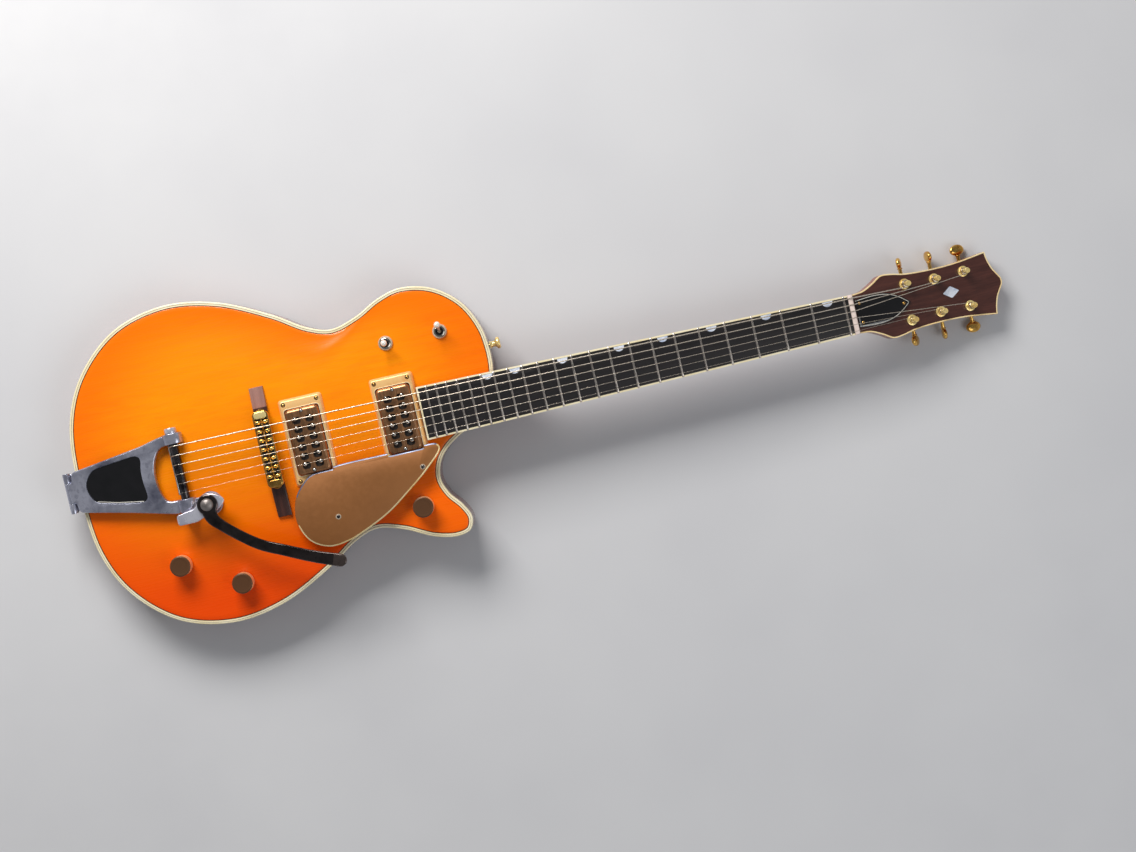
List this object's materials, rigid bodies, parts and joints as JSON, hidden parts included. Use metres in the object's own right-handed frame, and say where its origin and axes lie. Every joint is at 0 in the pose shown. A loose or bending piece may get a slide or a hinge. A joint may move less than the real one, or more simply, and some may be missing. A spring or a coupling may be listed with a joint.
{
  "type": "electric guitar",
  "caption": "Single-cutaway electric guitar with an arched orange top, gold hardware, a floating bridge and a vibrato tailpiece with its arm.",
  "frame": {"origin": "on the flat back of the body, under the bridge saddles, on the centre line", "axes": "+X along the neck to the headstock, +Y to the bass side, +Z out of the arched top"},
  "size_m": [1.023, 0.344, 0.1066],
  "materials": {
    "orange_top": "clear orange stain under gloss",
    "stained_mahogany": "dark orange-brown gloss",
    "cream_binding": "gloss",
    "neck_wood": "orange-brown gloss",
    "ebony_board": "oiled ebony with steel frets",
    "bone_nut": "smooth",
    "black_plastic": "gloss",
    "gold_bezel": "pale gold plate",
    "gold_pickup": "gold plate",
    "gold_pickguard": "satin gold-brown",
    "rosewood_base": "dark rosewood",
    "gold_hardware": "gold plate",
    "gold_knob": "worn gold plate",
    "polished_aluminium": "polished",
    "dark_arm": "polished, reflecting dark",
    "steel": "plated",
    "string_steel": "bare nickel and steel"
  },
  "bodies": {
    "guitar": {"body_back": "stained_mahogany", "body_top": "orange_top", "top_binding": "cream_binding", "control_cover": "black_plastic", "switch_cover": "black_plastic", "neck": "neck_wood", "truss_rod": "steel", "fingerboard": "ebony_board", "nut": "bone_nut", "truss_rod_cover": "black_plastic", "neck_pickup_ring": "gold_bezel", "neck_pickup": "gold_pickup", "bridge_pickup_ring": "gold_bezel", "bridge_pickup": "gold_pickup", "pickguard": "gold_pickguard", "bridge_base": "rosewood_base", "bridge_bar": "gold_hardware", "bridge_volume_pot": "steel", "neck_volume_pot": "steel", "master_volume_pot": "steel", "pickup_switch_body": "steel", "tone_switch_body": "steel", "output_jack": "gold_hardware", "upper_strap_button": "gold_hardware", "tail_strap_button": "gold_hardware", "vibrato_frame": "polished_aluminium", "hinge_plate": "polished_aluminium", "vibrato_spring": "steel", "string_1": "string_steel", "string_2": "string_steel", "string_3": "string_steel", "string_4": "string_steel", "string_5": "string_steel", "string_6": "string_steel", "tuner_housing_bass_1": "gold_hardware", "tuner_housing_bass_2": "gold_hardware", "tuner_housing_bass_3": "gold_hardware", "tuner_housing_treble_1": "gold_hardware", "tuner_housing_treble_2": "gold_hardware", "tuner_housing_treble_3": "gold_hardware"},
    "tuner_bass_1_button": {"tuner_button_bass_1": "gold_hardware"},
    "tuner_bass_1_post": {"tuner_post_bass_1": "gold_hardware"},
    "tuner_bass_2_button": {"tuner_button_bass_2": "gold_hardware"},
    "tuner_bass_2_post": {"tuner_post_bass_2": "gold_hardware"},
    "tuner_bass_3_button": {"tuner_button_bass_3": "gold_hardware"},
    "tuner_bass_3_post": {"tuner_post_bass_3": "gold_hardware"},
    "tuner_treble_1_button": {"tuner_button_treble_1": "gold_hardware"},
    "tuner_treble_1_post": {"tuner_post_treble_1": "gold_hardware"},
    "tuner_treble_2_button": {"tuner_button_treble_2": "gold_hardware"},
    "tuner_treble_2_post": {"tuner_post_treble_2": "gold_hardware"},
    "tuner_treble_3_button": {"tuner_button_treble_3": "gold_hardware"},
    "tuner_treble_3_post": {"tuner_post_treble_3": "gold_hardware"},
    "bridge_volume_knob": {"bridge_volume_knob": "gold_knob"},
    "neck_volume_knob": {"neck_volume_knob": "gold_knob"},
    "master_volume_knob": {"master_volume_knob": "gold_knob"},
    "pickup_switch_lever": {"pickup_switch_lever": "steel"},
    "tone_switch_lever": {"tone_switch_lever": "steel"},
    "vibrato_axle": {"string_axle": "steel", "arm_bracket": "polished_aluminium"},
    "vibrato_arm": {"vibrato_arm": "dark_arm"}
  },
  "joints": [
    {"name": "tuner_bass_1_button_turn", "type": "hinge", "parent": "guitar", "child": "tuner_bass_1_button", "pos_m": [0.69492, 0.0196, -0.00035], "axis": [0, 1, 0], "continuous": true},
    {"name": "tuner_bass_1_post_turn", "type": "hinge", "parent": "guitar", "child": "tuner_bass_1_post", "pos_m": [0.69286, 0.0196, 0.02038], "axis": [0.2164, 0, 0.9763], "continuous": true},
    {"name": "tuner_bass_2_button_turn", "type": "hinge", "parent": "guitar", "child": "tuner_bass_2_button", "pos_m": [0.72792, 0.0178, -0.00767], "axis": [0, 1, 0], "continuous": true},
    {"name": "tuner_bass_2_post_turn", "type": "hinge", "parent": "guitar", "child": "tuner_bass_2_post", "pos_m": [0.72586, 0.0178, 0.01307], "axis": [0.2164, 0, 0.9763], "continuous": true},
    {"name": "tuner_bass_3_button_turn", "type": "hinge", "parent": "guitar", "child": "tuner_bass_3_button", "pos_m": [0.76102, 0.0188, -0.01501], "axis": [0, 1, 0], "continuous": true},
    {"name": "tuner_bass_3_post_turn", "type": "hinge", "parent": "guitar", "child": "tuner_bass_3_post", "pos_m": [0.75896, 0.0188, 0.00573], "axis": [0.2164, 0, 0.9763], "continuous": true},
    {"name": "tuner_treble_1_button_turn", "type": "hinge", "parent": "guitar", "child": "tuner_treble_1_button", "pos_m": [0.69492, -0.0196, -0.00035], "axis": [0, -1, 0], "continuous": true},
    {"name": "tuner_treble_1_post_turn", "type": "hinge", "parent": "guitar", "child": "tuner_treble_1_post", "pos_m": [0.69286, -0.0196, 0.02038], "axis": [0.2164, 0, 0.9763], "continuous": true},
    {"name": "tuner_treble_2_button_turn", "type": "hinge", "parent": "guitar", "child": "tuner_treble_2_button", "pos_m": [0.72792, -0.0178, -0.00767], "axis": [0, -1, 0], "continuous": true},
    {"name": "tuner_treble_2_post_turn", "type": "hinge", "parent": "guitar", "child": "tuner_treble_2_post", "pos_m": [0.72586, -0.0178, 0.01307], "axis": [0.2164, 0, 0.9763], "continuous": true},
    {"name": "tuner_treble_3_button_turn", "type": "hinge", "parent": "guitar", "child": "tuner_treble_3_button", "pos_m": [0.76102, -0.0188, -0.01501], "axis": [0, -1, 0], "continuous": true},
    {"name": "tuner_treble_3_post_turn", "type": "hinge", "parent": "guitar", "child": "tuner_treble_3_post", "pos_m": [0.75896, -0.0188, 0.00573], "axis": [0.2164, 0, 0.9763], "continuous": true},
    {"name": "bridge_volume_knob_turn", "type": "hinge", "parent": "guitar", "child": "bridge_volume_knob", "pos_m": [-0.1187, -0.0998, 0.05], "axis": [0, 0, 1], "range_deg": [0, 300]},
    {"name": "neck_volume_knob_turn", "type": "hinge", "parent": "guitar", "child": "neck_volume_knob", "pos_m": [-0.0591, -0.1317, 0.05], "axis": [0, 0, 1], "range_deg": [0, 300]},
    {"name": "master_volume_knob_turn", "type": "hinge", "parent": "guitar", "child": "master_volume_knob", "pos_m": [0.1445, -0.096, 0.05], "axis": [0, 0, 1], "range_deg": [0, 300]},
    {"name": "pickup_switch_throw", "type": "hinge", "parent": "guitar", "child": "pickup_switch_lever", "pos_m": [0.1434, 0.0809, 0.05083], "axis": [1, 0, 0], "range_deg": [-25, 25]},
    {"name": "tone_switch_throw", "type": "hinge", "parent": "guitar", "child": "tone_switch_lever", "pos_m": [0.2017, 0.0805, 0.04804], "axis": [1, 0, 0], "range_deg": [0, 50]},
    {"name": "vibrato_rock", "type": "hinge", "parent": "guitar", "child": "vibrato_axle", "pos_m": [-0.097, 0, 0.0592], "axis": [0, 1, 0], "range_deg": [-4, 5], "stiffness_Nm_per_rad": 40, "deforming": ["vibrato_spring"]},
    {"name": "vibrato_arm_swing", "type": "hinge", "parent": "vibrato_axle", "child": "vibrato_arm", "pos_m": [-0.073, -0.0422, 0.078], "axis": [0, 0, 1], "range_deg": [-95, 20]}
  ],
  "couplings": [
    {"joint": "tuner_bass_1_post_turn", "follows": "tuner_bass_1_button_turn", "ratio": 0.071429},
    {"joint": "tuner_bass_2_post_turn", "follows": "tuner_bass_2_button_turn", "ratio": 0.071429},
    {"joint": "tuner_bass_3_post_turn", "follows": "tuner_bass_3_button_turn", "ratio": 0.071429},
    {"joint": "tuner_treble_1_post_turn", "follows": "tuner_treble_1_button_turn", "ratio": -0.071429},
    {"joint": "tuner_treble_2_post_turn", "follows": "tuner_treble_2_button_turn", "ratio": -0.071429},
    {"joint": "tuner_treble_3_post_turn", "follows": "tuner_treble_3_button_turn", "ratio": -0.071429}
  ]
}
